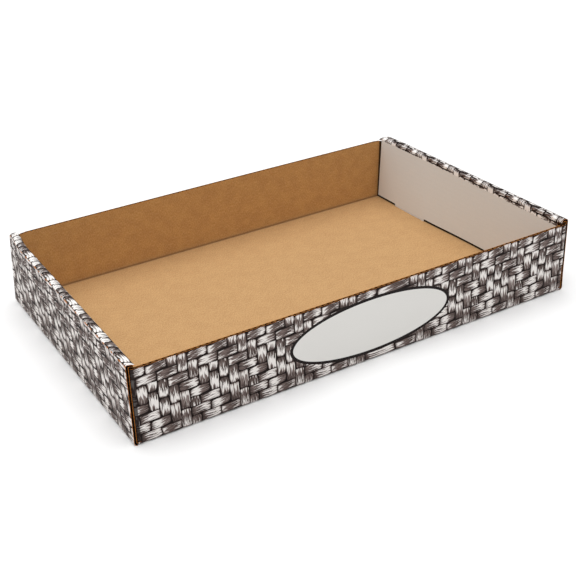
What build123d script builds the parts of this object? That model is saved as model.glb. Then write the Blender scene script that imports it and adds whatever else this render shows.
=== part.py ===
"""Open display tray, folded from one die-cut sheet of single-wall corrugated board.

The two long walls are one board thick and end in a plain cut edge. Each short end wall is double:
the sheet runs up the outside, rolls over into a rounded rim, comes down again on the inside and
locks into the floor with two tabs. The corner flaps of the long walls are trapped in between. The
board's flutes lie open where the sheet was cut across them: along the top of the long walls, and
up both sides of each outer and inner end panel.

The frame: X runs along the length, Y from the front wall to the back wall, Z up. The origin is the
centre of the underside.
"""
from build123d import *
from math import cos, degrees, atan2, radians, sin
import os

# Driving dimensions, in millimetres and degrees
BOARD = 3.0               # thickness of the board
LENGTH = 536.0            # over the outer faces of the two end walls
WIDTH = 340.0             # over the outer faces of the two long walls
WALL_HEIGHT = 83.0        # top edge of the long walls
RIM_HEIGHT = 90.0         # crown of the rolled rims

# Corrugation: the flutes run along Y in the floor and the end walls, and upright in the long walls
LINER = 0.3               # thickness of each of the two liners
FLUTE_PITCH = 6.4         # from one flute to the next
HOLLOW_FOOT = 5.2         # width of a flute's hollow on the liner that it stands on
HOLLOW_CREST = 0.9        # its width at the crest
HOLLOW_HEIGHT = 2.1
HOLLOW_DEPTH = 6.0        # how far the hollows are cut in from an open edge

# Folds
FOLD_RADIUS = 3.5         # outside radius of a square fold
ROLL_WIDTH = 9.6          # from outer face to inner face, just under the rim
FOOT_WIDTH = 13.0         # the same at the floor, because the inner panel leans in
CREASE_RADIUS = 3.4       # outside radius of the two creases beside the crown of the rim
CREASE_ANGLE = 55.0       # how far each of these creases turns

# Clearances that folding leaves
CORNER_SLIT = 0.5         # between the cut corners of neighbouring folds
END_SETBACK = 0.6         # cut edge of an end wall behind the face of the long wall
FLAP_GAP = 0.5            # between an outer end panel and the corner flap behind it
PANEL_SIDE_GAP = 3.5      # between an inner end panel and the long wall beside it
PANEL_FOOT_GAP = 3.0      # under an inner end panel, between its tabs

# Corner flaps of the long walls
FLAP_LENGTH = 105.0
FLAP_FOOT = 4.5           # height of the flap's lower edge
FLAP_TAPER = 12.0         # its far corners are cut off at 45 degrees

# Locking tabs and their slots, two at each end
TAB_LENGTH = 62.0
TAB_SPACING = 188.0       # between the middles of the two tabs
TAB_RECESS = 0.3          # the tab stops this far above the underside
TAB_SHOULDER = 1.4        # radius where the tab leaves the panel's lower edge
SLOT_CLEARANCE = 0.5      # round the tab on every side

half_length = LENGTH / 2
half_width = WIDTH / 2
end_panel_width = WIDTH - 2 * END_SETBACK


class FoldedStrip:
    """The section of a strip of board, drawn along its outside face, with every fold to the left."""

    def __init__(self, x, y, heading):
        self.point = Vector(x, y)
        self.heading = heading
        self.outside = []
        self.inside = []

    def direction(self):
        return Vector(cos(radians(self.heading)), sin(radians(self.heading)))

    def inward(self):
        return Vector(-sin(radians(self.heading)), cos(radians(self.heading)))

    def flat(self, length):
        """Carry the board straight on."""
        end = self.point + self.direction() * length
        thickness = self.inward() * BOARD
        self.outside.append(Line(self.point, end))
        self.inside.append(Line(self.point + thickness, end + thickness))
        self.point = end
        return self

    def fold(self, outside_radius, angle):
        """Turn the board to the left round an arc."""
        centre = self.point + self.inward() * outside_radius
        spoke = self.point - centre
        inner_share = (outside_radius - BOARD) / outside_radius
        spokes = [spoke.rotate(Axis.Z, angle * share) for share in (0, 0.5, 1)]
        self.outside.append(ThreePointArc(*[centre + s for s in spokes]))
        self.inside.append(ThreePointArc(*[centre + s * inner_share for s in spokes]))
        self.point = centre + spokes[2]
        self.heading += angle
        return self

    def section(self):
        """The closed outline as a face."""
        first_cut = Line(self.outside[0] @ 0, self.inside[0] @ 0)
        last_cut = Line(self.outside[-1] @ 1, self.inside[-1] @ 1)
        return make_face([*self.outside, last_cut, *self.inside, first_cut])


def flute_hollow():
    """The section of one flute's hollow, standing on its liner at the origin."""
    foot, crest = HOLLOW_FOOT / 2, HOLLOW_CREST / 2
    return make_face(
        Polyline((-foot, 0), (foot, 0), (crest, HOLLOW_HEIGHT), (-crest, HOLLOW_HEIGHT), close=True)
    )


def open_flutes(edge, length):
    """The hollows along a cut edge, standing by turns on the first and on the second liner.

    The edge is a plane at its middle, with X along the edge, Y through the board and Z into it.
    """
    on_first_liner = Pos(0, LINER) * flute_hollow()
    on_second_liner = Pos(0, BOARD - LINER) * Rot(0, 0, 180) * flute_hollow()
    half_pitch = FLUTE_PITCH / 2
    steps = int((length - HOLLOW_FOOT) / 2 / half_pitch)
    hollows = []
    for step in range(-steps, steps + 1):
        section = on_second_liner if step % 2 else on_first_liner
        place = edge * Pos(step * half_pitch, 0)
        hollows.append(place * extrude(section, amount=HOLLOW_DEPTH))
    return hollows


def floor_panel():
    """The flat bottom, with the four slots for the tabs."""
    size_x = LENGTH - 2 * FOLD_RADIUS
    size_y = WIDTH - 2 * FOLD_RADIUS
    floor = extrude(Rectangle(size_x, size_y), amount=BOARD)
    slot_width = BOARD + 2 * SLOT_CLEARANCE
    slot = extrude(Rectangle(slot_width, TAB_LENGTH + 2 * SLOT_CLEARANCE), amount=BOARD)
    slot_x = half_length - FOOT_WIDTH + BOARD / 2
    spots = GridLocations(2 * slot_x, TAB_SPACING, 2, 2)
    return floor - [spot * slot for spot in spots]


def crown_radius():
    """Outside radius of the arch between the two creases of a rim."""
    crease = radians(CREASE_ANGLE)
    return (ROLL_WIDTH - 2 * CREASE_RADIUS * (1 - cos(crease))) / (2 * cos(crease))


def panel_top():
    """Height at which the flat part of an outer end panel ends and its rim begins."""
    crease = radians(CREASE_ANGLE)
    rise = CREASE_RADIUS * sin(crease) + crown_radius() * (1 - sin(crease))
    return RIM_HEIGHT - rise


def outer_panel_and_rim():
    """Section of an outer end panel and the rim over it, up to the top of the inner panel."""
    lean = degrees(atan2(FOOT_WIDTH - ROLL_WIDTH, panel_top() - BOARD))
    strip = FoldedStrip(half_length - FOLD_RADIUS, 0, heading=0)
    strip.fold(FOLD_RADIUS, 90)
    strip.flat(panel_top() - FOLD_RADIUS)
    strip.fold(CREASE_RADIUS, CREASE_ANGLE)
    strip.fold(crown_radius(), 180 - 2 * CREASE_ANGLE)
    strip.fold(CREASE_RADIUS, CREASE_ANGLE - lean)
    return strip


def side_flutes(start, end, panel_width):
    """The open flutes in both sides of an end panel.

    The start and the end are the middles of the panel's two ends, on the printed face, in the
    order in which the sheet runs through them.
    """
    height = (end - start).length
    along = (end - start).normalized()
    hollows = []
    for side in (1, -1):
        edge_middle = (start + end) / 2 + Vector(0, side * panel_width / 2, 0)
        edge = Plane(origin=edge_middle, x_dir=along * side, z_dir=(0, -side, 0))
        hollows += open_flutes(edge, height)
    return hollows


def inner_panel(strip):
    """The panel that comes down inside, with its two tabs, in the plane that the rim leaves it."""
    down = Vector(strip.direction().X, 0, strip.direction().Y)
    outward = Vector(strip.inward().X, 0, strip.inward().Y)
    top = Vector(strip.point.X, 0, strip.point.Y)
    plane = Plane(origin=top, x_dir=(0, 1, 0), z_dir=outward)
    panel_width = WIDTH - 2 * (BOARD + PANEL_SIDE_GAP)
    foot_height = BOARD + PANEL_FOOT_GAP
    drop = (top.Z - foot_height) / -down.Z
    tab_drop = (foot_height - TAB_RECESS) / -down.Z
    downward = -1 if plane.y_dir.Z > 0 else 1
    outline = Pos(0, downward * drop / 2) * Rectangle(panel_width, drop)
    tab_middle = downward * (drop + tab_drop / 2)
    for middle in (-TAB_SPACING / 2, TAB_SPACING / 2):
        outline += Pos(middle, tab_middle) * Rectangle(TAB_LENGTH, tab_drop)
    foot_corners = outline.vertices().group_by(Axis.Y)[1].sort_by(Axis.X)
    shoulders = foot_corners[1:-1]
    outline = fillet(shoulders, TAB_SHOULDER)
    panel = extrude(plane * outline, amount=BOARD)
    return panel - side_flutes(top, top + down * drop, panel_width)


def end_wall():
    """The double wall at the right end: outer panel, rolled rim, inner panel and tabs."""
    strip = outer_panel_and_rim()
    plane = Plane(origin=(0, end_panel_width / 2, 0), x_dir=(1, 0, 0), z_dir=(0, -1, 0))
    rolled = extrude(plane * strip.section(), amount=end_panel_width)
    foot = Vector(half_length, 0, FOLD_RADIUS)
    top = Vector(half_length, 0, panel_top())
    rolled -= side_flutes(foot, top, end_panel_width)
    return rolled + inner_panel(strip)


def corner_flap():
    """The flap at the left end of the front wall, with the fold that joins them."""
    flap_x = BOARD + FLAP_GAP - half_length
    strip = FoldedStrip(flap_x, FLAP_LENGTH - half_width, heading=-90)
    strip.flat(FLAP_LENGTH - FOLD_RADIUS)
    strip.fold(FOLD_RADIUS, 90)
    plane = Plane.XY.offset(FLAP_FOOT)
    flap = extrude(plane * strip.section(), amount=WALL_HEIGHT - FLAP_FOOT)
    far_edges = flap.edges().filter_by(Axis.X).group_by(Axis.Y)[-1]
    return chamfer(far_edges, FLAP_TAPER)


def long_wall():
    """The front wall, with its fold to the floor and a flap at each end."""
    wall_length = LENGTH - 2 * (BOARD + FLAP_GAP + FOLD_RADIUS)
    wall = Pos(0, BOARD / 2 - half_width, FOLD_RADIUS) * extrude(
        Rectangle(wall_length, BOARD), amount=WALL_HEIGHT - FOLD_RADIUS
    )
    top_edge = Plane(origin=(0, -half_width, WALL_HEIGHT), x_dir=(-1, 0, 0), z_dir=(0, 0, -1))
    wall -= open_flutes(top_edge, wall_length)
    fold_length = LENGTH - 2 * (FOLD_RADIUS + CORNER_SLIT)
    strip = FoldedStrip(half_width - FOLD_RADIUS, 0, heading=0)
    strip.fold(FOLD_RADIUS, 90)
    plane = Plane(origin=(fold_length / 2, 0, 0), x_dir=(0, -1, 0), z_dir=(-1, 0, 0))
    fold = extrude(plane * strip.section(), amount=fold_length)
    flap = corner_flap()
    return wall + fold + flap + mirror(flap, about=Plane.YZ)


def tray():
    """The whole folded sheet."""
    end = end_wall()
    front = long_wall()
    ends = end + mirror(end, about=Plane.YZ)
    walls = front + mirror(front, about=Plane.XZ)
    return floor_panel() + ends + walls


os.makedirs("parts", exist_ok=True)
folded_sheet = tray()
print("solids:", len(folded_sheet.solids()))
export_step(folded_sheet.solid(), "parts/tray.step")
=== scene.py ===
# %% [markdown]
# # A display tray folded from corrugated board
#
# The real tray starts as one flat sheet: two paper liners with a wavy paper, the medium, glued
# between them. A press cuts the outline and creases the fold lines, and the sheet is folded up.
#
# One way to model it is a finished shell with a picture of board on its edges. This lesson takes the
# factory's way instead. Each of the three papers is cut flat, gets its print while it is flat, and is
# then bent along the fold lines. The cut edges show real flutes, and the print runs round every
# corner just as it does on the real sheet.

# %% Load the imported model
import math

import bmesh
import bpy
from mathutils import Matrix, Vector


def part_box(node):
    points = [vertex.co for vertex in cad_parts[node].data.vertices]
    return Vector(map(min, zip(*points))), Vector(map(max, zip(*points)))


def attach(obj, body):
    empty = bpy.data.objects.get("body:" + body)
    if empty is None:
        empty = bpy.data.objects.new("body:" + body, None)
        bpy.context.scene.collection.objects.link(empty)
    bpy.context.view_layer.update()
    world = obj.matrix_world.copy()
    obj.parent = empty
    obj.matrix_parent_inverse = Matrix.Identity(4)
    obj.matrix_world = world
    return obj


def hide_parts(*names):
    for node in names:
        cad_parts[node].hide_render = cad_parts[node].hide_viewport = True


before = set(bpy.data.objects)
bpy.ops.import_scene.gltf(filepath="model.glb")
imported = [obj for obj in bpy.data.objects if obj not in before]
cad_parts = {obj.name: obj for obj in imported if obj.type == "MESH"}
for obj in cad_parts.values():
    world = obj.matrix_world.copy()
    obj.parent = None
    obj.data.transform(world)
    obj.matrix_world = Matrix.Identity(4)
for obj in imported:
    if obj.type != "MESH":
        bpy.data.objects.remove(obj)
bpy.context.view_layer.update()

# %% [markdown]
# ## Sizes
#
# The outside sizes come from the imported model's box. The sizes of the folds, gaps and tabs are those
# of the box as it was designed. Everything is in metres, so a millimetre is a named value. The front
# wall is at -Y, and the underside lies on Z = 0.

# %% Sizes of the tray
MM = 0.001
tray_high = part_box("tray")[1]
half_length = tray_high.x
half_width = tray_high.y
rim_height = tray_high.z

BOARD = 3.0 * MM
WALL_HEIGHT = 83 * MM
FOLD_RADIUS = 3.5 * MM
ROLL_WIDTH = 9.6 * MM
FOOT_WIDTH = 13 * MM
CREASE_RADIUS = 3.4 * MM
CREASE_ANGLE = math.radians(55)
SQUARE = math.radians(90)

CORNER_SLIT = 0.5 * MM
END_SETBACK = 0.6 * MM
FLAP_GAP = 0.5 * MM
PANEL_SIDE_GAP = 3.5 * MM
PANEL_FOOT_GAP = 3.0 * MM

FLAP_LENGTH = 105 * MM
FLAP_FOOT = 4.5 * MM
FLAP_TAPER = 12 * MM

TAB_LENGTH = 62 * MM
TAB_SPACING = 188 * MM
TAB_RECESS = 0.3 * MM
TAB_SHOULDER = 1.4 * MM
SLOT_CLEARANCE = 0.5 * MM
print("tray in mm:", 2 * half_length / MM, 2 * half_width / MM, rim_height / MM)

# %% [markdown]
# ## The fold lines as paths
#
# Seen from its edge, a folded panel is a path of straight runs and arcs. The path is kept as a list
# of (length, angle) pairs along the printed side. A place on the flat sheet then needs only its
# distance along the path and its depth in the board to find where folding puts it. A bend could
# also be an armature or a lattice, but those stretch the print, and this keeps every length.

# %% A path of straight runs and arcs
def flat(length):
    """A straight run."""
    return (length, 0.0)


def fold(outside_radius, angle):
    """A bend, as long as its arc on the printed side."""
    return (outside_radius * angle, angle)


def walk(path, distance, depth):
    """The place so far along the path and so deep in the board, with every fold to the left."""
    along, across, heading = 0.0, 0.0, 0.0
    for number, (length, angle) in enumerate(path):
        last = number == len(path) - 1
        step = distance if last else min(distance, length)
        if angle:
            radius = length / angle
            centre = (along - math.sin(heading) * radius, across + math.cos(heading) * radius)
            heading += step / radius
            along = centre[0] + math.sin(heading) * radius
            across = centre[1] - math.cos(heading) * radius
        else:
            along += math.cos(heading) * step
            across += math.sin(heading) * step
        distance -= step
        if distance <= 0:
            break
    return along - math.sin(heading) * depth, across + math.cos(heading) * depth


# %% The end wall's path: up the outside, over the rim and down inside
crease_cos = math.cos(CREASE_ANGLE)
crease_sin = math.sin(CREASE_ANGLE)
crown_radius = (ROLL_WIDTH - 2 * CREASE_RADIUS * (1 - crease_cos)) / (2 * crease_cos)
rim_rise = CREASE_RADIUS * crease_sin + crown_radius * (1 - crease_sin)
panel_top = rim_height - rim_rise
lean = math.atan2(FOOT_WIDTH - ROLL_WIDTH, panel_top - BOARD)
end_path = [
    fold(FOLD_RADIUS, SQUARE),
    flat(panel_top - FOLD_RADIUS),
    fold(CREASE_RADIUS, CREASE_ANGLE),
    fold(crown_radius, math.pi - 2 * CREASE_ANGLE),
    fold(CREASE_RADIUS, CREASE_ANGLE - lean),
]
rolled_length = sum(length for length, angle in end_path)
inner_top = walk(end_path, rolled_length, 0)[1]
panel_drop = (inner_top - BOARD - PANEL_FOOT_GAP) / math.cos(lean)
tab_drop = (BOARD + PANEL_FOOT_GAP - TAB_RECESS) / math.cos(lean)
end_path.append(flat(panel_drop + tab_drop))
print("the end strip is", round((rolled_length + panel_drop + tab_drop) / MM, 1), "mm long when flat")

# %% The long wall's path, and the path round its corner into a flap
long_path = [fold(FOLD_RADIUS, SQUARE), flat(WALL_HEIGHT - FOLD_RADIUS)]
corner_path = [fold(FOLD_RADIUS, SQUARE), flat(FLAP_LENGTH - FOLD_RADIUS)]
fold_arc = FOLD_RADIUS * SQUARE
print("a square fold takes", round(fold_arc / MM, 2), "mm of the sheet")

# %% [markdown]
# ## The flat blank
#
# On the flat sheet, s runs along X and t along Y, with the floor in the middle. The outline is not
# drawn point by point. A grid is cut along every fold and every edge with bisect_plane, and the cells
# that are not board are deleted, as a cutting press drops its waste. A boolean would also work, but
# it leaves long thin faces that fold badly.

# %% Stations on the blank, measured from its middle
floor_s = half_length - FOLD_RADIUS
floor_t = half_width - FOLD_RADIUS
end_half_width = half_width - END_SETBACK
panel_half_width = half_width - BOARD - PANEL_SIDE_GAP
rolled_s = floor_s + rolled_length
foot_s = rolled_s + panel_drop
tab_s = foot_s + tab_drop
corner_s = half_length - BOARD - FLAP_GAP - FOLD_RADIUS
slit_s = floor_s - CORNER_SLIT
flap_s = corner_s + fold_arc + FLAP_LENGTH - FOLD_RADIUS
wall_t = floor_t + fold_arc
flap_foot_t = wall_t + FLAP_FOOT - FOLD_RADIUS
wall_top_t = wall_t + WALL_HEIGHT - FOLD_RADIUS
tab_t = (TAB_SPACING / 2 - TAB_LENGTH / 2, TAB_SPACING / 2 + TAB_LENGTH / 2)
slot_t = (tab_t[0] - SLOT_CLEARANCE, tab_t[1] + SLOT_CLEARANCE)
slot_middle = half_length - FOOT_WIDTH + BOARD / 2
slot_s = (slot_middle - BOARD / 2 - SLOT_CLEARANCE, slot_middle + BOARD / 2 + SLOT_CLEARANCE)
print("the flat blank is", round(2 * tab_s / MM), "by", round(2 * wall_top_t / MM), "mm")


# %% What is board and what is waste
def between(limits, value):
    """True if the value lies inside the limits."""
    return limits[0] < value < limits[1]


def on_board(s, t):
    """True where the flat sheet has board. The blank is alike in its four quarters."""
    s, t = abs(s), abs(t)
    if s < floor_s and t < floor_t:
        return not (between(slot_s, s) and between(slot_t, t))
    if s > floor_s and t < end_half_width:
        if s < rolled_s:
            return True
        return t < panel_half_width if s < foot_s else s < tab_s and between(tab_t, t)
    if t < wall_t:
        return s < slit_s
    return t < wall_top_t and (s < corner_s or flap_foot_t < t and s < flap_s)


# %% Cutting a grid along lines
TOUCHING = 1e-7


def steps(start, end, count):
    """Both ends and the even steps between them."""
    return [start + (end - start) * k / count for k in range(count + 1)]


def cut_lines(mesh, lines, axis):
    """Cuts the whole flat mesh across one axis, on both sides of the middle."""
    normal = Vector((1, 0, 0)) if axis == 0 else Vector((0, 1, 0))
    for line in sorted({side * value for value in lines for side in (1, -1)}):
        everything = mesh.verts[:] + mesh.edges[:] + mesh.faces[:]
        on_line = normal * line
        bmesh.ops.bisect_plane(
            mesh, geom=everything, dist=TOUCHING, plane_co=on_line, plane_no=normal
        )


def taper_flaps(mesh):
    """Cuts the far corners of the four flaps at 45 degrees."""
    for side_s in (1, -1):
        for side_t in (1, -1):
            for foot, inward in ((wall_top_t, -1), (flap_foot_t, 1)):
                flap = [
                    face
                    for face in mesh.faces
                    if face.calc_center_median().x * side_s > flap_s - 3 * FLAP_TAPER
                    and face.calc_center_median().y * side_t > wall_t
                ]
                near = set(flap)
                near.update(edge for face in flap for edge in face.edges)
                near.update(vert for face in flap for vert in face.verts)
                bmesh.ops.bisect_plane(
                    mesh,
                    geom=list(near),
                    dist=TOUCHING,
                    plane_co=(side_s * (flap_s - FLAP_TAPER), side_t * foot, 0),
                    plane_no=(side_s, -side_t * inward, 0),
                    clear_outer=True,
                )


# %% The lines for folds and edges
FOLD_STEPS = 8
CREASE_STEPS = 5
SUPPORT = 40 * MM
BLEED = 6 * MM


def path_lines(start, path, arc_steps):
    """Fine lines across every arc of a path, and a line at the end of every straight run."""
    lines = [start]
    for (length, angle), count in zip(path, arc_steps):
        lines += steps(start, start + length, count if angle else 1)
        start += length
    return lines


end_steps = (FOLD_STEPS, 1, CREASE_STEPS, FOLD_STEPS, CREASE_STEPS, 1)
edge_lines_s = [slit_s, *slot_s, corner_s, foot_s, tab_s, flap_s, rolled_s, floor_s]
wall_steps = (FOLD_STEPS, 1)
fold_lines_s = path_lines(floor_s, end_path, end_steps)
fold_lines_s += path_lines(corner_s, corner_path, wall_steps)
edge_lines_t = [*slot_t, *tab_t, panel_half_width, end_half_width, flap_foot_t, wall_top_t]
fold_lines_t = path_lines(floor_t, long_path, wall_steps)
support_lines_s = steps(0, tab_s, round(tab_s / SUPPORT))
support_lines_t = steps(0, wall_top_t, round(wall_top_t / SUPPORT))
bleed_lines_s = [floor_s - BLEED]
bleed_lines_t = [floor_t - BLEED]
print("the sheet is cut along", len(fold_lines_s + fold_lines_t), "lines for its folds")


def flat_sheet(lines_s, lines_t, columns=1):
    """The blank as one layer of faces, with the waste deleted."""
    mesh = bmesh.new()
    bmesh.ops.create_grid(mesh, x_segments=columns, y_segments=1, size=1)
    bmesh.ops.scale(mesh, vec=(tab_s, wall_top_t, 1), verts=mesh.verts)
    cut_lines(mesh, lines_s, axis=0)
    cut_lines(mesh, lines_t, axis=1)
    waste = [face for face in mesh.faces if not on_board(*face.calc_center_median().xy)]
    bmesh.ops.delete(mesh, geom=waste, context="FACES")
    taper_flaps(mesh)
    return mesh


# %% [markdown]
# ## From flat to folded
#
# Folding is one function from a flat place (s, t, depth) to a place on the tray. The corner fold
# comes first and the fold to the floor after it, the order in which the machine works.

# %% Fold one point
NEAR = 0.001 * MM


def folded(point):
    """The place on the tray of a place on the flat sheet, whose z is its depth from the printed side."""
    side_s, side_t = math.copysign(1, point.x), math.copysign(1, point.y)
    s, t, depth = abs(point.x), abs(point.y), point.z
    if s > floor_s - NEAR and t < end_half_width + NEAR:
        across, up = walk(end_path, s - floor_s, depth)
        return Vector((side_s * (floor_s + across), side_t * t, up))
    if t < wall_t + NEAR:
        across, up = walk(long_path, t - floor_t, depth) if t > floor_t else (t - floor_t, depth)
        return Vector((side_s * s, side_t * (floor_t + across), up))
    along, depth = walk(corner_path, s - corner_s, depth) if s > corner_s else (s - corner_s, depth)
    up = FOLD_RADIUS + t - wall_t
    return Vector((side_s * (corner_s + along), side_t * (half_width - depth), up))


# %% [markdown]
# ## How the tray has settled
#
# No folded board stands dead true. The long walls bow out a little, both rims are pressed down at
# their back ends, the left one is squashed a little flatter towards the front, the left wall leans
# in at its back corner, and the right inner panel stands a few millimetres further in at the back,
# with its tab and its slot. At the front right corner the front wall bulges past the end panel's cut
# edge and hides it. Each is one smooth push, five millimetres at most, given to the folded places. A
# value called RANGE holds the place where a push begins and the place where it is whole. Modifiers
# could do it too, but they would need a vertex group for every push.

# %% How large each push is
WALL_BOW = 0.7 * MM
END_PRESS = 4.5 * MM
LEFT_SQUASH = 2.4 * MM
CORNER_LEAN = 5.0 * MM
PANEL_TOP_PUSH = 2.7 * MM
PANEL_FOOT_PUSH = 4.2 * MM
CORNER_BULGE = 2.4 * MM
EDGE_SETBACK = 3.4 * MM


def ease(start, end, value):
    """0 at start, 1 at end, and smooth between them."""
    share = min(1, max(0, (value - start) / (end - start)))
    return share * share * (3 - 2 * share)


# %% The right inner panel, further in at its back end
SLOT_MARGIN = 12 * MM
TOP_PUSH_RANGE = (60 * MM, half_width)
FOOT_PUSH_RANGE = (-40 * MM, 80 * MM)


def panel_push(s, y):
    """How far the right inner panel, its tabs and its slots stand in from their nominal place."""
    if s > floor_s:
        crown_middle = (rolled_s + floor_s + fold_arc + end_path[1][0]) / 2
        down = ease(rolled_s, foot_s, s)
        reach = ease(crown_middle, rolled_s, s)
    else:
        down = 1
        reach = ease(slot_s[0] - SLOT_MARGIN, slot_s[0], s) * ease(floor_s, slot_s[1], s)
    at_top = PANEL_TOP_PUSH * ease(*TOP_PUSH_RANGE, y) * (1 - down)
    at_foot = PANEL_FOOT_PUSH * ease(*FOOT_PUSH_RANGE, y) * down
    return reach * (at_top + at_foot)


# %% The front right corner, where the wall bulges past a cut edge
BULGE_START = 225 * MM
BULGE_FADE = 8 * MM
SETBACK_WIDTH = 30 * MM
SETBACK_BELOW_CROWN = 3 * MM


def corner_push(s, t, y, z):
    """How the front right corner bulges, for places on the right half of the sheet."""
    above_floor = ease(0, BULGE_FADE, z)
    if t < -floor_t:
        past_fold = s - corner_s - fold_arc
        bulge = ease(BULGE_START, corner_s, s) * ease(BULGE_FADE, 0, past_fold)
        return Vector((CORNER_BULGE * bulge * above_floor, 0, 0))
    if floor_s < s < rolled_s:
        near_edge = ease(-end_half_width + SETBACK_WIDTH, -end_half_width, y)
        below_rim = ease(rim_height - SETBACK_BELOW_CROWN, WALL_HEIGHT, z)
        return Vector((0, EDGE_SETBACK * near_edge * above_floor * below_rim, 0))
    return Vector((0, 0, 0))


# %% The pressed rims and the left wall
PRESS_LENGTH = 14 * MM
PRESS_DEPTH = 8 * MM
END_WALL_RANGE = (250 * MM, 262 * MM)
CROWN_RANGE = (0.5 * MM, 5 * MM)
LEFT_RIM_RANGE = (-245 * MM, -258 * MM)
LEAN_START_X = -200 * MM
LEAN_START_Y = 120 * MM


def rim_press(x, y, z):
    """How far a rim is pressed down at its back end."""
    back_end = ease(half_width - PRESS_LENGTH, half_width, y)
    near_top = ease(WALL_HEIGHT - PRESS_DEPTH, rim_height, z)
    return END_PRESS * back_end * near_top * ease(*END_WALL_RANGE, abs(x))


def left_push(x, y, z):
    """How the left rim is squashed towards the front, and its wall leans in at the back."""
    crown = ease(*CROWN_RANGE, x + half_length) * ease(WALL_HEIGHT, rim_height, z)
    squash = LEFT_SQUASH * crown * (0.5 - y / half_width / 2) * ease(*LEFT_RIM_RANGE, x)
    corner = ease(LEAN_START_Y, half_width, y) * ease(LEAN_START_X, -half_length, x)
    return Vector((CORNER_LEAN * corner * z / WALL_HEIGHT, 0, -squash))


# %% All pushes together
def settled(flat_place, place):
    """Where a folded place has moved to, given also its place on the flat sheet."""
    x, y, z = place
    s, t = flat_place.xy
    middle = math.cos(math.pi / 2 * min(1, abs(x) / half_length)) ** 2
    bow = WALL_BOW * middle * (z / rim_height) ** 2 * y / half_width
    push = Vector((0, bow, -rim_press(x, y, z)))
    if x < 0:
        push += left_push(x, y, z)
    elif abs(t) < end_half_width + NEAR and s > slot_s[0] - SLOT_MARGIN:
        push.x -= panel_push(s, y)
    if x > 0:
        push += corner_push(s, t, y, z)
    return place + push


def fold_up(mesh):
    """Folds and settles every point of a flat sheet."""
    for vert in mesh.verts:
        vert.co = settled(vert.co.copy(), folded(vert.co))


# %% [markdown]
# ## Where the print sits
#
# The print is laid on the sheet while it is flat. Each wall has its own upright panel of weave, so
# the map called print gives, in metres, how far a point is to the right of the print's left edge and
# how far it is below its top edge. A second map called blank keeps the flat place itself, for
# everything that follows the paper and not the picture, such as the ridges of the flutes.

# %% The print's panels
STRAND_REPEAT = 63.13 * MM
PRINT_LEFT = 2.7 * MM
SEAM = 2 * MM
RIGHT_SHIFT = -23.3 * MM


def front_print(s, t):
    """The front panel, whose right part starts its print again behind the oval."""
    right = s + half_length + PRINT_LEFT
    return right + (RIGHT_SHIFT if s > SEAM else 0), wall_top_t + t


def panel_print(face_s, face_t, s, t):
    """The place in the print of a corner at (s, t), for a face with its middle at (face_s, face_t)."""
    end_top = floor_s + fold_arc + WALL_HEIGHT - FOLD_RADIUS
    if abs(face_t) > floor_t - BLEED and abs(face_s) < floor_s:
        return front_print(s, t) if face_t < 0 else (half_length - s + PRINT_LEFT, wall_top_t - t)
    if face_s > 0:
        return half_width + t + PRINT_LEFT, end_top - s
    return half_width - t + PRINT_LEFT, end_top + s


def is_printed(s, t):
    """True outside the floor, and on a narrow bleed round its edge."""
    return abs(s) > floor_s - BLEED or abs(t) > floor_t - BLEED


# %% [markdown]
# ## The three papers
#
# Each liner is the flat sheet pulled up to its thickness. Its faces get one of four finishes: printed
# coat, plain white coat, brown kraft, or the torn look of a cut edge. Only the folded strips are
# shaded smooth, so the panels between them stay crisp.

# %% Finish and map every face
LINER = 0.35 * MM
PRINTED, WHITE, KRAFT, CUT = range(4)


def paint_and_map(mesh, outside_finish, inside_finish):
    """Sets each face's finish and writes both maps, while the sheet is still flat."""
    print_map = mesh.loops.layers.uv.new("print")
    blank_map = mesh.loops.layers.uv.new("blank")
    for face in mesh.faces:
        middle = face.calc_center_median()
        if abs(face.normal.z) < 0.5:
            face.material_index = CUT
        elif face.normal.z > 0:
            face.material_index = inside_finish
        else:
            face.material_index = outside_finish
            if outside_finish == PRINTED and not is_printed(middle.x, middle.y):
                face.material_index = WHITE
        for corner in face.loops:
            s, t = corner.vert.co.xy
            corner[print_map].uv = panel_print(middle.x, middle.y, s, t)
            corner[blank_map].uv = (s, t)


def in_fold(s, t):
    """True on the strips that bend."""
    s, t = abs(s), abs(t)
    if s > floor_s and t < end_half_width:
        outer_crease = floor_s + end_path[0][0] + end_path[1][0]
        return s < floor_s + fold_arc or outer_crease < s < rolled_s
    return floor_t < t < wall_t or t > wall_t and between((corner_s, corner_s + fold_arc), s)


# %% Make one liner
def round_shoulders(mesh):
    """Fills the inner corners where a tab leaves its panel."""
    shoulders = [
        edge
        for edge in mesh.edges
        if abs(edge.verts[0].co.z - edge.verts[1].co.z) > NEAR
        and abs(abs(edge.verts[0].co.x) - foot_s) < NEAR
        and min(abs(abs(edge.verts[0].co.y) - t) for t in tab_t) < NEAR
    ]
    bmesh.ops.bevel(
        mesh,
        geom=shoulders,
        offset=TAB_SHOULDER,
        offset_type="OFFSET",
        segments=3,
        profile=0.5,
        affect="EDGES",
        material=-1,
        clamp_overlap=True,
    )


def finished_piece(name, mesh, sharp_angle):
    """Turns a mesh into an object, with every edge sharper than the angle kept crisp."""
    data = bpy.data.meshes.new(name)
    mesh.to_mesh(data)
    mesh.free()
    data.set_sharp_from_angle(angle=sharp_angle)
    piece = bpy.data.objects.new(name, data)
    bpy.context.scene.collection.objects.link(piece)
    print(name, "has", sum(len(face.vertices) - 2 for face in data.polygons), "triangles")
    return piece


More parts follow.
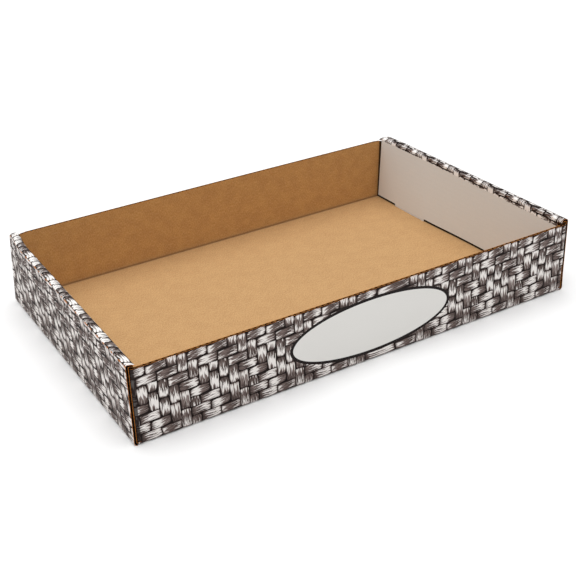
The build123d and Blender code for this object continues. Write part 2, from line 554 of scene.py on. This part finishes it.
def liner(name, bottom, outside_finish, inside_finish):
    """One liner: cut, thickened, printed, then folded."""
    mesh = flat_sheet(
        edge_lines_s + fold_lines_s + support_lines_s + bleed_lines_s,
        edge_lines_t + fold_lines_t + support_lines_t + bleed_lines_t,
    )
    bmesh.ops.translate(mesh, verts=mesh.verts, vec=(0, 0, bottom))
    raised = bmesh.ops.extrude_face_region(mesh, geom=mesh.faces[:])
    top = [item for item in raised["geom"] if isinstance(item, bmesh.types.BMVert)]
    bmesh.ops.translate(mesh, verts=top, vec=(0, 0, LINER))
    bmesh.ops.recalc_face_normals(mesh, faces=mesh.faces)
    round_shoulders(mesh)
    mesh.normal_update()
    paint_and_map(mesh, outside_finish, inside_finish)
    for face in mesh.faces:
        face.smooth = in_fold(*face.calc_center_median().xy)
    fold_up(mesh)
    mesh.normal_update()
    return finished_piece(name, mesh, math.radians(40))


# %% The two liners
outer_liner = liner("outer_liner", 0, PRINTED, KRAFT)
inner_liner = liner("inner_liner", BOARD - LINER, KRAFT, KRAFT)

# %% [markdown]
# ## The fluted medium
#
# The medium is the wavy paper that gives the board its stiffness. Its waves run along Y, so the
# cut edges of the long walls and of the end walls show them end on. It could be an array of one
# wave, but a fine grid whose height follows a sine is simpler, and it folds with the same function
# as the liners.

# %% The wavy sheet between the liners
FLUTE = 6.4 * MM
FLUTE_STEPS = 6
COARSE_STEPS = 5
MEDIUM = 0.25 * MM
flute_height = BOARD - 2 * LINER - MEDIUM


def flute_wave(s):
    """The medium's height above the outer liner at s."""
    return LINER + flute_height * (0.5 + 0.5 * math.cos(2 * math.pi * s / FLUTE))


columns = round(2 * tab_s / FLUTE * FLUTE_STEPS)
coarse_fold_t = path_lines(floor_t, long_path, (COARSE_STEPS, 1))
wavy = flat_sheet(edge_lines_s, edge_lines_t + coarse_fold_t + support_lines_t, columns)
raised = bmesh.ops.extrude_face_region(wavy, geom=wavy.faces[:])
top = {item for item in raised["geom"] if isinstance(item, bmesh.types.BMVert)}
for vert in wavy.verts:
    vert.co.z = flute_wave(vert.co.x) + (MEDIUM if vert in top else 0)
bmesh.ops.recalc_face_normals(wavy, faces=wavy.faces)
blank_map = wavy.loops.layers.uv.new("blank")
for face in wavy.faces:
    face.smooth = True
    for corner in face.loops:
        corner[blank_map].uv = corner.vert.co.xy
fold_up(wavy)
medium = finished_piece("fluted_medium", wavy, math.radians(65))

# %% [markdown]
# ## Formulas made of nodes
#
# A procedural print is a formula that gives a tone at every point. Wiring it by hand takes hundreds
# of nodes, so a small class stands for "a number that varies over the surface". Adding or multiplying
# two of them makes the Math node and its links, and the formulas below read like plain arithmetic.

# %% A number that varies over the surface
class Field:
    """One output of a node, with the signs of arithmetic."""

    def __init__(self, socket):
        self.socket = socket
        self.tree = socket.id_data

    def math(self, operation, *others):
        node = self.tree.nodes.new("ShaderNodeMath")
        node.operation = operation
        for value, place in zip((self, *others), node.inputs):
            feed(self.tree, value, place)
        return Field(node.outputs[0])

    def __add__(self, other):
        return self.math("ADD", other)

    def __sub__(self, other):
        return self.math("SUBTRACT", other)

    def __mul__(self, other):
        return self.math("MULTIPLY", other)

    def __truediv__(self, other):
        return self.math("DIVIDE", other)

    def floor(self):
        return self.math("FLOOR")

    def size(self):
        return self.math("ABSOLUTE")

    def wrap(self, period):
        return self.math("FLOORED_MODULO", period)

    def below(self, limit):
        return self.math("LESS_THAN", limit)

    def least(self, other):
        return self.math("MINIMUM", other)

    def most(self, other):
        return self.math("MAXIMUM", other)

    def flipped(self):
        return self * -1 + 1

    def rise(self, start, end):
        """0 up to start, 1 from end on, and smooth between them."""
        node = self.tree.nodes.new("ShaderNodeMapRange")
        node.interpolation_type = "SMOOTHSTEP"
        feed(self.tree, self, node.inputs["Value"])
        feed(self.tree, start, node.inputs["From Min"])
        feed(self.tree, end, node.inputs["From Max"])
        return Field(node.outputs["Result"])

    def choose(self, if_one, if_zero):
        return if_zero + (if_one - if_zero) * self


def feed(tree, value, place):
    """Sets a socket to a plain value, or links it to a field."""
    if isinstance(value, Field):
        tree.links.new(value.socket, place)
    else:
        place.default_value = value


# %% Sources of fields: maps, noise and random numbers
def uv_place(tree, name):
    """The two numbers of a map, in millimetres."""
    node = tree.nodes.new("ShaderNodeUVMap")
    node.uv_map = name
    parts = tree.nodes.new("ShaderNodeSeparateXYZ")
    tree.links.new(node.outputs["UV"], parts.inputs[0])
    return Field(parts.outputs["X"]) / MM, Field(parts.outputs["Y"]) / MM


def object_place(tree):
    """X, Y and Z in millimetres."""
    node = tree.nodes.new("ShaderNodeTexCoord")
    parts = tree.nodes.new("ShaderNodeSeparateXYZ")
    tree.links.new(node.outputs["Object"], parts.inputs[0])
    return [Field(parts.outputs[axis]) / MM for axis in ("X", "Y", "Z")]


def vector(tree, x, y, z):
    """Three numbers or fields as one place."""
    node = tree.nodes.new("ShaderNodeCombineXYZ")
    for value, place in zip((x, y, z), node.inputs):
        feed(tree, value, place)
    return Field(node.outputs[0])


def noise(tree, x, y, z, detail=2.0, roughness=0.5):
    """Cloudy noise, about 0.5 on average, one blotch to each whole step."""
    node = tree.nodes.new("ShaderNodeTexNoise")
    feed(tree, vector(tree, x, y, z), node.inputs["Vector"])
    node.inputs["Scale"].default_value = 1
    node.inputs["Detail"].default_value = detail
    node.inputs["Roughness"].default_value = roughness
    return Field(node.outputs[0])


def random_number(tree, x, y, z):
    """A number from 0 to 1, another one for every whole place."""
    node = tree.nodes.new("ShaderNodeTexWhiteNoise")
    feed(tree, vector(tree, x, y, z), node.inputs["Vector"])
    return Field(node.outputs["Value"])


def srgb(red, green, blue):
    """A colour as read off a screen, 0 to 255, as the light that Blender counts in."""
    def linear(value):
        value /= 255
        return value / 12.92 if value <= 0.04045 else ((value + 0.055) / 1.055) ** 2.4
    return (linear(red), linear(green), linear(blue), 1.0)


def mixed(tree, share, low, high):
    """The colour low where share is 0 and high where it is 1."""
    node = tree.nodes.new("ShaderNodeMix")
    node.data_type = "RGBA"
    feed(tree, share, node.inputs["Factor"])
    feed(tree, low, node.inputs["A"])
    feed(tree, high, node.inputs["B"])
    return Field(node.outputs["Result"])


# %% A paper material with colour and relief
RIDGE_HEIGHT = 0.012


def paper(name, roughness, specular):
    """A new material, its node tree and its shader."""
    material = bpy.data.materials.new(name)
    material.use_nodes = True
    tree = material.node_tree
    shader = tree.nodes["Principled BSDF"]
    shader.inputs["Roughness"].default_value = roughness
    shader.inputs["Specular IOR Level"].default_value = specular
    return material, tree, shader


def add_relief(tree, shader, height_mm):
    """Raises the surface by a height in millimetres."""
    node = tree.nodes.new("ShaderNodeBump")
    node.inputs["Distance"].default_value = MM
    node.inputs["Strength"].default_value = 1
    tree.links.new(height_mm.socket, node.inputs["Height"])
    tree.links.new(node.outputs["Normal"], shader.inputs["Normal"])


def ridges(along):
    """The faint washboard that the flutes press into a liner, in millimetres."""
    return (along * (2 * math.pi / (FLUTE / MM))).math("COSINE") * RIDGE_HEIGHT


# %% [markdown]
# ## Kraft paper
#
# Unbleached kraft is never one brown. There are clouds a centimetre or two wide where the pulp lay
# thicker, fibres a millimetre or two long that mostly lie one way, and the odd dark speck. Each is
# one noise, stretched as the fibres are, and the flutes show through as a washboard.
# Two places carry painted shade: the crease at the foot of each long wall, and the closed inside of
# the double end walls, painted near black, which shows black through the gap under their inner panels.

# %% Kraft's colours, with painted shade on the walls
CLOUD_SIZE = 15


def kraft_colour(tree, s, t, z, clouds, fibres):
    """Clouds, fibres and specks, with painted shade that makes a wall darker and redder than the floor.
    """
    specks = noise(tree, s / 0.9, t / 1.3, 7.0, detail=1).rise(0.66, 0.74)
    on_floor = mixed(tree, clouds, srgb(190, 151, 105), srgb(196, 157, 110))
    # painted shade: the walls' kraft is darker and redder, as if shaded and lit by warm light bounced
    # off the floor
    shaded_wall = mixed(tree, clouds, srgb(188, 139, 82), srgb(202, 153, 91))
    colour = mixed(tree, z.rise(1, 9), on_floor, shaded_wall)
    colour = mixed(tree, fibres.rise(0.35, 0.7) * 0.3, colour, srgb(214, 178, 132))
    colour = mixed(tree, fibres.rise(0.65, 0.35) * 0.35, colour, srgb(156, 112, 66))
    return mixed(tree, specks * 0.5, colour, srgb(118, 78, 42))


# %% Painted shade on the kraft
SLIT_MARGIN = 1 * MM
PANEL_SLOPE = 0.04


def crease_shade(s, t):
    """1 in the crease at the foot of each long wall, where shade is painted."""
    from_middle = (t.size() - (floor_t + fold_arc / 2) / MM).size()
    along_fold = s.size().below((slit_s - SLIT_MARGIN) / MM)
    return (from_middle - fold_arc / MM / 2).rise(2.6, -0.5) * along_fold


def painted_inside_shade(x, y, z):
    """1 inside the double end walls, where painted shade is laid. The right inner panel stands further
    in at the back.
    """
    at_back = y.rise(FOOT_PUSH_RANGE[0] / MM, FOOT_PUSH_RANGE[1] / MM)
    foot_push = at_back * x.rise(0, 1) * (PANEL_FOOT_PUSH / MM)
    past_panel = x.size() + foot_push - z * PANEL_SLOPE - (half_length - FOOT_WIDTH) / MM
    return past_panel.rise(-0.2, 1)


# %% Kraft
def make_kraft():
    material, tree, shader = paper("kraft", roughness=0.82, specular=0.25)
    s, t = uv_place(tree, "blank")
    x, y, z = object_place(tree)
    cloud_x, cloud_y, cloud_z = x / CLOUD_SIZE, y / CLOUD_SIZE, z / CLOUD_SIZE
    clouds = noise(tree, cloud_x, cloud_y, cloud_z, detail=3, roughness=0.6).rise(0.3, 0.7)
    fibres = noise(tree, s / 1.1, t / 2.4, 1.0, detail=2, roughness=0.7)
    colour = kraft_colour(tree, s, t, z, clouds, fibres)
    # painted shade: a soft dark brown line along the crease at the foot of each long wall
    colour = mixed(tree, crease_shade(s, t) * 0.6, colour, srgb(92, 56, 28))
    # painted shade: the closed inside of the double end walls is made near black
    colour = mixed(tree, painted_inside_shade(x, y, z) * 0.85, colour, srgb(24, 15, 9))
    tree.links.new(colour.socket, shader.inputs["Base Color"])
    add_relief(tree, shader, ridges(s) + fibres * 0.02)
    return material


kraft = make_kraft()
print("kraft is made of", len(kraft.node_tree.nodes), "nodes")

# %% [markdown]
# ## White coat and cut edges
#
# The unprinted coat is a warm white with a trace of the brown paper under it. A cut edge shows the
# paper's inside: brown fibres, darker where the knife pressed them together. The medium is painted
# nearly black, because hardly any light gets into real flutes.

# %% White coat
def make_white():
    material, tree, shader = paper("white_coat", roughness=0.6, specular=0.35)
    s, t = uv_place(tree, "blank")
    clouds = noise(tree, s / 22, t / 22, 3.0, detail=4, roughness=0.6).rise(0.3, 0.7)
    grain = noise(tree, s / 0.6, t / 0.9, 5.0, detail=2)
    colour = mixed(tree, clouds, srgb(244, 242, 234), srgb(248, 247, 241))
    colour = mixed(tree, grain.rise(0.4, 0.7) * 0.25, colour, srgb(252, 251, 248))
    tree.links.new(colour.socket, shader.inputs["Base Color"])
    add_relief(tree, shader, ridges(s) + grain * 0.01)
    return material


white_coat = make_white()
print("the white coat is made of", len(white_coat.node_tree.nodes), "nodes")


# %% Cut edges and medium
def make_brown(name, light, dark):
    """A rough paper with fibres of two browns."""
    material, tree, shader = paper(name, roughness=0.95, specular=0.1)
    x, y, z = object_place(tree)
    fibres = noise(tree, x / 0.7, y / 0.7, z / 0.7, detail=2)
    colour = mixed(tree, fibres.rise(0.35, 0.65), dark, light)
    tree.links.new(colour.socket, shader.inputs["Base Color"])
    add_relief(tree, shader, fibres * 0.03)
    return material


cut_edge = make_brown("cut_edge", srgb(222, 138, 54), srgb(150, 84, 28))
medium_paper = make_brown("medium_paper", srgb(44, 30, 20), srgb(22, 15, 11))
print("brown papers:", cut_edge.name, "and", medium_paper.name)

# %% [markdown]
# ## The basket weave
#
# The print imitates a basket of flat cane. The pattern is a twill on a grid: a cell's number is
# (column - row) modulo 6, so each step down moves the pattern one cell to the right. Two numbers
# of the six are the halves of a strand that lies along the row, and the others are the halves of two
# strands that stand upright. In two rows of every six, the second of these lies down too. Every
# strand is brushed: dark at its ends, with a light patch in which the bristles drag, and a
# near-black gap round it.

# %% The weave's grid, in millimetres
STRAND_WIDE = STRAND_REPEAT / MM / 6
STRAND_HIGH = 10.2
PER_REPEAT = 6
print("a strand is", round(STRAND_WIDE, 1), "by", STRAND_HIGH, "mm")


def weave_cell(right, down):
    """Where a point lies in its strand, from its middle, and the strand's half sizes and number."""
    column, row = (right / STRAND_WIDE).floor(), (down / STRAND_HIGH).floor()
    cell_x, cell_y = right / STRAND_WIDE - column, down / STRAND_HIGH - row
    number = (column - row).wrap(PER_REPEAT)
    odd = number.wrap(2)
    pair_lies = number.below(1.5) * row.wrap(PER_REPEAT).below(1.5)
    lies = number.below(3.5) * number.below(1.5).flipped()
    lies = lies.most(pair_lies)
    lying_along = (odd + cell_x - 1) * STRAND_WIDE
    standing_along = (odd.flipped() + cell_y - 1) * STRAND_HIGH
    along = lies.choose(lying_along, standing_along)
    across = lies.choose((cell_y - 0.5) * STRAND_HIGH, (cell_x - 0.5) * STRAND_WIDE)
    half_along = lies * (STRAND_WIDE - STRAND_HIGH) + STRAND_HIGH
    half_across = lies * (STRAND_HIGH - STRAND_WIDE) / 2 + STRAND_WIDE / 2
    strand_column = (column - odd * lies).wrap(PER_REPEAT)
    strand_row = row - odd.flipped() * lies.flipped()
    return along, across, half_along, half_across, (strand_column, strand_row, lies)


# %% The strand's outline
GAP = 0.4


def gap_distance(along, across, half_along, half_across, corner):
    """Distance from the edge of a strand with rounded corners: negative inside it."""
    beyond_x = along.size() - half_along + GAP + corner
    beyond_y = across.size() - half_across + GAP + corner
    corner_x, corner_y = beyond_x.most(0), beyond_y.most(0)
    outside = (corner_x * corner_x + corner_y * corner_y).math("SQRT")
    return outside + beyond_x.most(beyond_y).least(0) - corner


# %% The strand's brushed paint
WHOLE_TURN = 6.28


def brushed(reach, bristles, fine, seed, second_seed):
    """A light patch with dragged ends on dark paint, at another place on every strand."""
    streaks = (bristles - 0.5) * 7 + (fine - 0.5) * 5
    phase = reach * (second_seed * 1.2 + 2.2) + seed * WHOLE_TURN + streaks
    light = (phase.math("COSINE") + (fine - 0.5) * 2).rise(-0.35, 0.6)
    dark_tone = fine.rise(0.3, 0.7) * 0.26 + bristles.rise(0.3, 0.7) * 0.2 + 0.06
    light_tone = fine.rise(0.3, 0.65) * 0.3 + 0.68
    return light.choose(light_tone, dark_tone)


# %% The weave's tone
SWAY = 1.6
SWAY_LENGTH = 9


def swayed(tree, right, down, seed):
    """A drift of the grid to one side and back, because the drawing is made by hand."""
    return (noise(tree, right / SWAY_LENGTH, down / SWAY_LENGTH, seed, detail=1) - 0.5) * SWAY


def weave_tone(tree, right, down):
    """0 for the darkest ink and 1 for bare white coat."""
    drawn_right = right + swayed(tree, right, down, 11.0)
    drawn_down = down + swayed(tree, right, down, 23.0)
    along, across, half_along, half_across, strand = weave_cell(drawn_right, drawn_down)
    strand_column, strand_row, lies = strand
    seed = random_number(tree, strand_column, strand_row, lies)
    second_seed = random_number(tree, strand_row, lies, strand_column + 40)
    third_seed = random_number(tree, lies, strand_column + 70, strand_row)
    slant = (third_seed - 0.5) * 0.16 + lies * 0.1
    tilted = across + along * slant
    bristles = noise(tree, along / 16, tilted / 1.3, seed * 50, detail=1, roughness=0.5)
    fine = noise(tree, along / 9, tilted / 0.6, seed * 90, detail=2, roughness=0.6)
    reach = along / half_along
    tone = brushed(reach, bristles, fine, seed, second_seed)
    outline = gap_distance(along, tilted, half_along, half_across, second_seed * 2.6 + 1)
    edge = outline.most(across.size() - half_across + 0.2)
    ends = (reach.size() + (bristles - 0.5) * 1.4).rise(0.6, 1.1)
    shade = (edge + (fine - 0.5) * 1.2).rise(-1.5, 0.3)
    ink = (edge + (fine - 0.5) * 0.8).rise(-0.3, 0.2)
    return tone * (ends * -0.5 + 1) * (shade * -0.35 + 1) * ink.flipped()


# %% [markdown]
# ## The printed coat
#
# The weave covers every outer wall and rolls over the rims, where its rows begin again at the outer
# crease and end raggedly a few millimetres down the inside. On the rims' up-facing tops the light
# strands get a painted highlight of purer white. The front wall also carries an oval label with a
# dark outline, left bare here, and both long walls end in a dark band at the left corners: dark ink
# with painted shade of the fold that turns into the flap. At the creases of a rim the coat cracks and
# kraft shows through: in long dashes along the outer crease and in short ones along the inner one.

# %% The print on walls and rims
RIM_OFFSET = 0.9
RIGHT_RIM_ROWS = 1.4
CAP_DEPTH = (-7, -4)


def print_tone(tree, right, below_top, right_end):
    """The weave's tone, and 1 on the rims. The right rim has lower rows and a darker crown."""
    past_crease = below_top + ((panel_top - WALL_HEIGHT) / MM + RIM_OFFSET)
    on_rim = past_crease.rise(0.3, -0.3)
    row_scale = right_end * (RIGHT_RIM_ROWS - 1) + 1
    rim_down = past_crease * row_scale - (right_end * 2 + 1) * STRAND_HIGH
    tone = weave_tone(tree, right, on_rim.rise(0.45, 0.55).choose(rim_down, below_top))
    cap = on_rim * right_end * past_crease.rise(*CAP_DEPTH)
    # painted highlight: on the rims the tone is stretched, so the light strands on the up-facing tops
    # turn white
    return on_rim.choose(tone.rise(0.08, 0.8), tone) * (cap * -0.55 + 1), on_rim


def ink_colour(tree, tone, on_rim):
    """Brown-black through grey to white, with a painted highlight of purer white on the rims."""
    colour = mixed(tree, tone.rise(0, 0.5), srgb(22, 12, 10), srgb(122, 106, 101))
    colour = mixed(tree, tone.rise(0.36, 0.85), colour, srgb(233, 228, 224))
    # painted highlight: the light strands on the rims' up-facing tops are made purer white
    return mixed(tree, on_rim * tone.rise(0.75, 1), colour, srgb(246, 243, 240))


# %% The oval label
OVAL_CENTRE = (1.9, 42.1)
OVAL_HALF = (99.2, 32.8)
OVAL_LINE = 3.5
FRONT_DEPTH = 3


def in_oval(x, y, z, inset):
    """1 on the front wall inside the oval, less an inset."""
    across = (x - OVAL_CENTRE[0]) / (OVAL_HALF[0] - inset)
    up = (z - OVAL_CENTRE[1]) / (OVAL_HALF[1] - inset)
    from_centre = (across * across + up * up).math("SQRT")
    return from_centre.below(1) * y.below(-half_width / MM + FRONT_DEPTH)


# %% The print's end and its cracks
INSIDE_PRINT = 105.5
PRINT_SLANT = 0.015
RAGGED = 4
OUTER_CREASE = (fold_arc + end_path[1][0]) / MM + 0.9
INNER_CREASE = rolled_length / MM - 1.2


def past_print(tree, strip, s, t):
    """1 below the ragged line inside the rims where the print ends."""
    ragged = noise(tree, s / 6, t / 2.5, 2.0, detail=2) - 0.5
    return (strip + t * PRINT_SLANT + ragged * RAGGED - INSIDE_PRINT).rise(-0.4, 0.4)


def cracked(tree, strip, t):
    """1 in the cracks along the two creases of a rim."""
    long_crack = noise(tree, 1.0, t / 9, 9.0, detail=2).rise(0.46, 0.6) * 0.7
    short_crack = noise(tree, 4.0, t / 2, 2.0, detail=1).rise(0.6, 0.72) * 0.6
    from_outer = (strip - OUTER_CREASE).size() - long_crack
    from_inner = (strip - INNER_CREASE).size() - short_crack
    return from_outer.least(from_inner).rise(0.12, -0.12)


def left_corner_ink_and_shade(s, t):
    """1 at the left ends of the long walls, where they turn into their flaps: dark ink and painted shade
    of the fold.
    """
    return (s * -1 - corner_s / MM).rise(-0.8, 0.4) * (t.size() - wall_t / MM).rise(0, 0.1)


# %% Printed coat
def make_print():
    material, tree, shader = paper("printed_coat", roughness=0.6, specular=0.1)
    right, below_top = uv_place(tree, "print")
    s, t = uv_place(tree, "blank")
    x, y, z = object_place(tree)
    tone, on_rim = print_tone(tree, right, below_top, x.rise(0, 1))
    colour = ink_colour(tree, tone, on_rim)
    grain = noise(tree, s / 0.6, t / 0.9, 5.0, detail=2)
    bare = mixed(tree, grain, srgb(216, 214, 210), srgb(225, 223, 219))
    colour = mixed(tree, in_oval(x, y, z, 0), colour, srgb(30, 24, 23))
    colour = mixed(tree, in_oval(x, y, z, OVAL_LINE), colour, bare)
    # dark ink with painted shade of the shadowed fold at the left corners
    colour = mixed(tree, left_corner_ink_and_shade(s, t) * 0.9, colour, srgb(28, 18, 16))
    strip = s.size() - floor_s / MM
    on_end = strip.below(0).flipped() * t.size().below(end_half_width / MM)
    colour = mixed(tree, past_print(tree, strip, s, t) * on_end, colour, bare)
    crack = cracked(tree, strip, t) * on_end
    colour = mixed(tree, crack, colour, srgb(190, 116, 48))
    tree.links.new(colour.socket, shader.inputs["Base Color"])
    add_relief(tree, shader, ridges(s) + grain * 0.01 - crack * 0.15)
    return material


printed_coat = make_print()
print("the printed coat is made of", len(printed_coat.node_tree.nodes), "nodes")

# %% Give the pieces their finishes and tie them to the frame
for piece in (outer_liner, inner_liner):
    for finish in (printed_coat, white_coat, kraft, cut_edge):
        piece.data.materials.append(finish)
medium.data.materials.append(medium_paper)
for piece in (outer_liner, inner_liner, medium):
    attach(piece, "root")
    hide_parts("tray")

# %% [markdown]
# ## Floor, light and camera
#
# The tray is shown on a wide white floor under a large soft light, with pale surroundings that fill the
# shadows. A white floor also lights the walls from below, which is why they look bright.

# %% Floor
FLOOR_SIZE = 40.0
floor_mesh = bmesh.new()
bmesh.ops.create_grid(floor_mesh, x_segments=1, y_segments=1, size=FLOOR_SIZE / 2)
floor_data = bpy.data.meshes.new("studio_floor")
floor_mesh.to_mesh(floor_data)
floor_mesh.free()
floor = bpy.data.objects.new("studio_floor", floor_data)
bpy.context.scene.collection.objects.link(floor)
floor_paint, floor_tree, floor_shader = paper("studio_white", roughness=0.9, specular=0.0)
floor_shader.inputs["Base Color"].default_value = (0.93, 0.93, 0.93, 1)
floor_data.materials.append(floor_paint)
print("the floor is", FLOOR_SIZE, "m square, and its paint has", len(floor_tree.nodes), "nodes")

# %% Lights
world = bpy.data.worlds.new("pale_studio")
world.use_nodes = True
surroundings = world.node_tree.nodes["Background"]
surroundings.inputs["Color"].default_value = (1, 1, 1, 1)
surroundings.inputs["Strength"].default_value = 0.6
bpy.context.scene.world = world

sun = bpy.data.lights.new("soft_sun", "SUN")
sun.energy = 2.05
sun.angle = math.radians(70)
sun_holder = bpy.data.objects.new("soft_sun", sun)
sun_holder.rotation_euler = (math.radians(-1), math.radians(-6), 0)
bpy.context.scene.collection.objects.link(sun_holder)
print("one sun of", round(sun.energy, 2), "watts a square metre")

# %% Camera
IMAGE_WIDTH = 576
FOCAL_PIXELS = 1058.47
SHIFT_PIXELS = 20
SENSOR = 36.0
camera_data = bpy.data.cameras.new("camera")
camera_data.sensor_width = SENSOR
camera_data.lens = FOCAL_PIXELS / IMAGE_WIDTH * SENSOR
camera_data.shift_x = SHIFT_PIXELS / IMAGE_WIDTH
camera_data.shift_y = -SHIFT_PIXELS / IMAGE_WIDTH
camera_data.clip_start = 0.05
camera = bpy.data.objects.new("camera", camera_data)
bpy.context.scene.collection.objects.link(camera)
pan = Matrix.Rotation(math.radians(-29.4742), 4, "Z")
tilt = Matrix.Rotation(math.radians(62.7642), 4, "X")
roll = Matrix.Rotation(math.radians(-2.5606), 4, "Z")
stand = Matrix.Translation((-0.5472, -0.9297, 0.5915))
camera.matrix_world = stand @ pan @ tilt @ roll
bpy.context.scene.camera = camera
bpy.context.scene.view_settings.view_transform = "Standard"
print("the lens is", round(camera_data.lens, 1), "mm")
